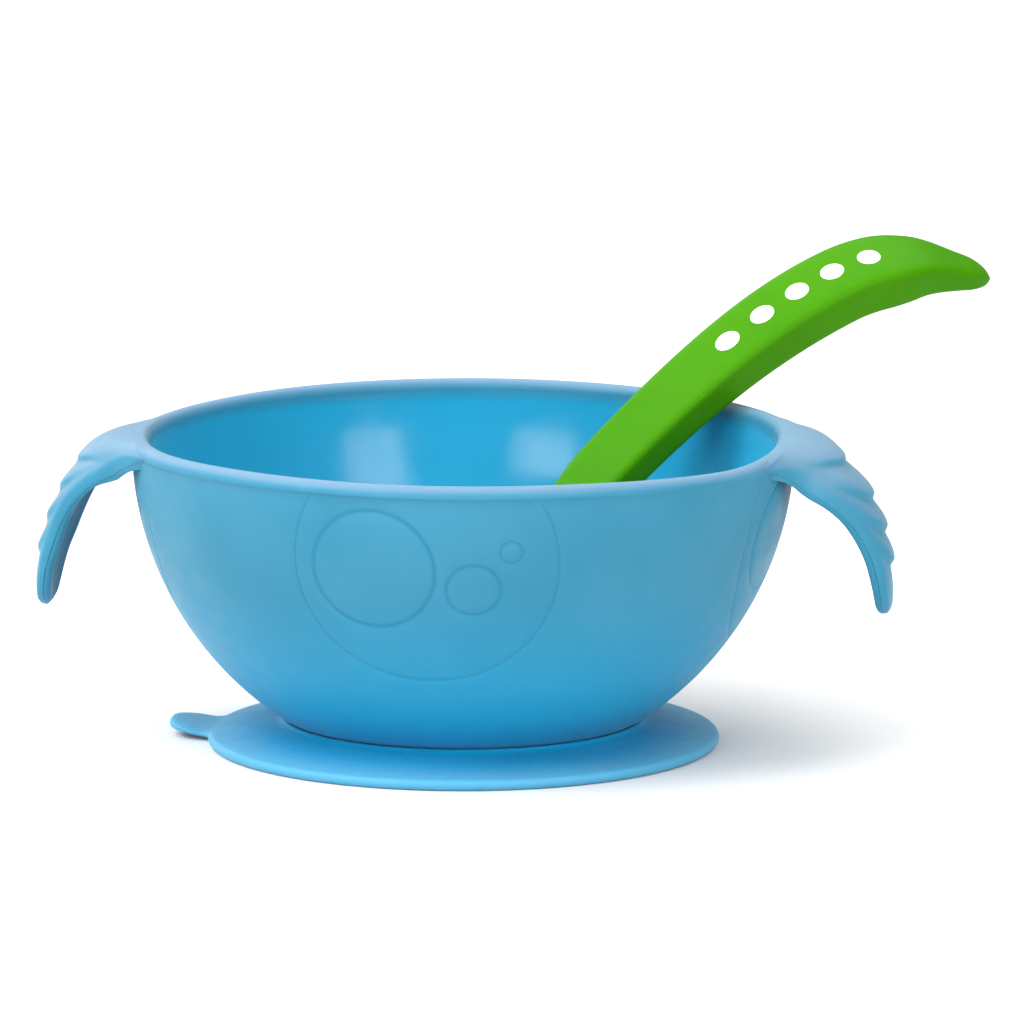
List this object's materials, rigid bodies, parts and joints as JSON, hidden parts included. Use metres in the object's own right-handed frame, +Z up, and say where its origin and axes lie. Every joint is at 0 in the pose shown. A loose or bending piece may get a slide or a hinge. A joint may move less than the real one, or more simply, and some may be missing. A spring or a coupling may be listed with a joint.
{
  "type": "suction bowl",
  "caption": "Round child's feeding bowl with scalloped wing handles, a suction disc with a release tab, and a curved spoon leaning over its rim.",
  "frame": {"origin": "under the middle of the whole outline, on the table; the bowl's own axis is 9 mm towards -X from it, because the spoon reaches past the right-hand handle", "axes": "+X along both handles, to the side the spoon leans to; +Y to the back, where the spoon's handle leaves the bowl; +Z up"},
  "size_m": [0.1883, 0.132, 0.0939],
  "materials": {
    "blue_silicone": "matte translucent outside, glossy inside",
    "blue_disc_silicone": "satin, slightly translucent",
    "green_silicone": "satin",
    "white_plastic": "plain moulded"
  },
  "bodies": {
    "base": {"suction_disc": "blue_disc_silicone"},
    "tab": {"release_tab": "blue_disc_silicone"},
    "bowl": {"bowl_shell": "blue_silicone"},
    "left_handle": {"left_handle": "blue_silicone"},
    "right_handle": {"right_handle": "blue_silicone"},
    "spoon": {"spoon_core": "white_plastic", "spoon_grip": "green_silicone"},
    "spoon_head": {"spoon_head": "green_silicone"}
  },
  "joints": [
    {"name": "bowl_press", "type": "slide", "parent": "base", "child": "bowl", "axis": [0, 0, -1], "range_m": [0, 0.0025], "stiffness_N_per_m": 6000, "deforming": ["suction_disc"]},
    {"name": "tab_peel", "type": "hinge", "parent": "base", "child": "tab", "pos_m": [-0.05992, 0.00535, 0.0022], "axis": [0.1045, 0.9945, 0], "range_deg": [0, 60], "stiffness_Nm_per_rad": 0.02},
    {"name": "left_handle_flex", "type": "hinge", "parent": "bowl", "child": "left_handle", "pos_m": [-0.0753, 0, 0.0605], "axis": [0, 1, 0], "range_deg": [-15, 20], "stiffness_Nm_per_rad": 0.4},
    {"name": "right_handle_flex", "type": "hinge", "parent": "bowl", "child": "right_handle", "pos_m": [0.0573, 0, 0.0605], "axis": [0, -1, 0], "range_deg": [-15, 20], "stiffness_Nm_per_rad": 0.4},
    {"name": "spoon_lift", "type": "slide", "parent": "bowl", "child": "spoon", "axis": [0, 0, 1], "range_m": [0, 0.12]},
    {"name": "spoon_head_flex", "type": "hinge", "parent": "spoon", "child": "spoon_head", "pos_m": [0.01577, 0.02348, 0.0475], "axis": [-0.6743, 0.6817, 0.2839], "range_deg": [0, 15], "stiffness_Nm_per_rad": 0.3}
  ]
}
